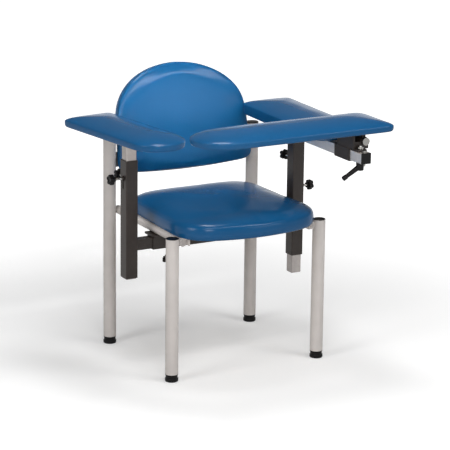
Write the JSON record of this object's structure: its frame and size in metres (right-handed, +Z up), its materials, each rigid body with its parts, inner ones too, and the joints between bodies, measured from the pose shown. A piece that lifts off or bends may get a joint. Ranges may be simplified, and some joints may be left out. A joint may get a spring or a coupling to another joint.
{
  "type": "phlebotomy chair",
  "caption": "Blood-draw chair: tube frame, padded seat and domed back, arm pads on telescoping posts, and a flip-up padded bar across the front.",
  "frame": {"origin": "on the floor, under the middle of the whole footprint", "axes": "+Z up, +Y to the sitter's back, +X to the side of the flip-up pad's hinge (the sitter's left)"},
  "size_m": [0.7705, 0.7267, 0.8352],
  "materials": {
    "frame_paint": "warm light grey powder coat, satin",
    "bronze_paint": "dark bronze powder coat, satin",
    "bright_tube": "bright zinc plated tube",
    "zinc_hardware": "zinc and chrome plated fasteners",
    "black_plastic": "moulded black nylon, fine matt grain",
    "board_wood": "plywood under a black cover cloth",
    "blue_vinyl": "royal blue vinyl-coated upholstery fabric over foam, soft gloss, fine grain"
  },
  "bodies": {
    "frame": {"front_leg_left": "frame_paint", "front_leg_right": "frame_paint", "back_post_left": "frame_paint", "back_post_right": "frame_paint", "floor_glides": "black_plastic", "tube_plugs": "black_plastic", "post_caps": "black_plastic", "side_rail_left": "frame_paint", "side_rail_right": "frame_paint", "front_crossbar": "frame_paint", "rear_crossbar": "frame_paint", "seat_board": "board_wood", "seat_cushion": "blue_vinyl", "seat_tabs": "frame_paint", "seat_bolts": "zinc_hardware", "back_board": "board_wood", "back_cushion": "blue_vinyl", "back_brackets": "frame_paint", "back_bolts": "zinc_hardware", "arm_receiver": "bronze_paint", "receiver_plates": "bronze_paint", "receiver_bolts": "zinc_hardware", "receiver_bosses": "bronze_paint"},
    "left_arm": {"left_arm_tube": "bronze_paint", "left_outer_post": "bronze_paint", "left_post_bosses": "bronze_paint"},
    "right_arm": {"right_arm_tube": "bronze_paint", "right_outer_post": "bronze_paint", "right_post_bosses": "bronze_paint"},
    "left_lift": {"left_inner_post": "bright_tube", "left_pad_plate": "bronze_paint", "left_pad_screws": "zinc_hardware", "left_pad_board": "board_wood", "left_pad_cushion": "blue_vinyl"},
    "right_lift": {"right_inner_post": "bright_tube", "reach_bar": "bright_tube", "bar_end_plugs": "black_plastic", "bar_stop_bolt": "zinc_hardware", "right_pad_plate": "bronze_paint", "right_pad_screws": "zinc_hardware", "right_pad_board": "board_wood", "right_pad_cushion": "blue_vinyl"},
    "carriage": {"reach_sleeve": "bronze_paint", "hinge_base": "bronze_paint", "hinge_bolt": "zinc_hardware", "hinge_nut": "zinc_hardware", "hinge_washers": "zinc_hardware", "clamp_nut": "zinc_hardware"},
    "flip_pad": {"hinge_leaf": "bronze_paint", "flip_pad_board": "board_wood", "flip_pad_screws": "zinc_hardware", "flip_pad_cushion": "blue_vinyl"},
    "lever": {"clamp_lever": "black_plastic", "clamp_stud": "zinc_hardware"},
    "receiver_left_turn": {"receiver_left_knob": "black_plastic"},
    "receiver_right_turn": {"receiver_right_knob": "black_plastic"},
    "left_side_turn": {"left_side_knob": "black_plastic"},
    "left_rear_turn": {"left_rear_knob": "black_plastic"},
    "right_side_turn": {"right_side_knob": "black_plastic"},
    "right_rear_turn": {"right_rear_knob": "black_plastic"}
  },
  "joints": [
    {"name": "left_width", "type": "slide", "parent": "frame", "child": "left_arm", "axis": [-1, 0, 0], "range_m": [-0.025, 0.05]},
    {"name": "right_width", "type": "slide", "parent": "frame", "child": "right_arm", "axis": [1, 0, 0], "range_m": [0, 0.1]},
    {"name": "left_height", "type": "slide", "parent": "left_arm", "child": "left_lift", "axis": [0, 0, 1], "range_m": [-0.058, 0.08]},
    {"name": "right_height", "type": "slide", "parent": "right_arm", "child": "right_lift", "axis": [0, 0, 1], "range_m": [-0.01, 0.14]},
    {"name": "reach", "type": "slide", "parent": "right_lift", "child": "carriage", "axis": [0, -1, 0], "range_m": [-0.02, 0.006]},
    {"name": "flip", "type": "hinge", "parent": "carriage", "child": "flip_pad", "pos_m": [0.3062, -0.2695, 0.6985], "axis": [0, 1, 0], "range_deg": [0, 100]},
    {"name": "lever_turn", "type": "hinge", "parent": "carriage", "child": "lever", "pos_m": [0.2872, -0.322, 0.63], "axis": [0, 0, 1], "range_deg": [-30, 180]},
    {"name": "receiver_left_knob_turn", "type": "hinge", "parent": "frame", "child": "receiver_left_turn", "pos_m": [-0.1438, 0.0355, 0.314], "axis": [0, 0, 1], "continuous": true},
    {"name": "receiver_right_knob_turn", "type": "hinge", "parent": "frame", "child": "receiver_right_turn", "pos_m": [0.2082, 0.0945, 0.37585], "axis": [0, 1, 0], "continuous": true},
    {"name": "left_side_knob_turn", "type": "hinge", "parent": "left_arm", "child": "left_side_turn", "pos_m": [-0.3078, 0.0355, 0.5766], "axis": [1, 0, 0], "continuous": true},
    {"name": "left_rear_knob_turn", "type": "hinge", "parent": "left_arm", "child": "left_rear_turn", "pos_m": [-0.2698, 0.0765, 0.573], "axis": [0, 1, 0], "continuous": true},
    {"name": "right_side_knob_turn", "type": "hinge", "parent": "right_arm", "child": "right_side_turn", "pos_m": [0.3322, 0.0355, 0.4886], "axis": [1, 0, 0], "continuous": true},
    {"name": "right_rear_knob_turn", "type": "hinge", "parent": "right_arm", "child": "right_rear_turn", "pos_m": [0.2872, 0.0765, 0.573], "axis": [0, 1, 0], "continuous": true}
  ]
}
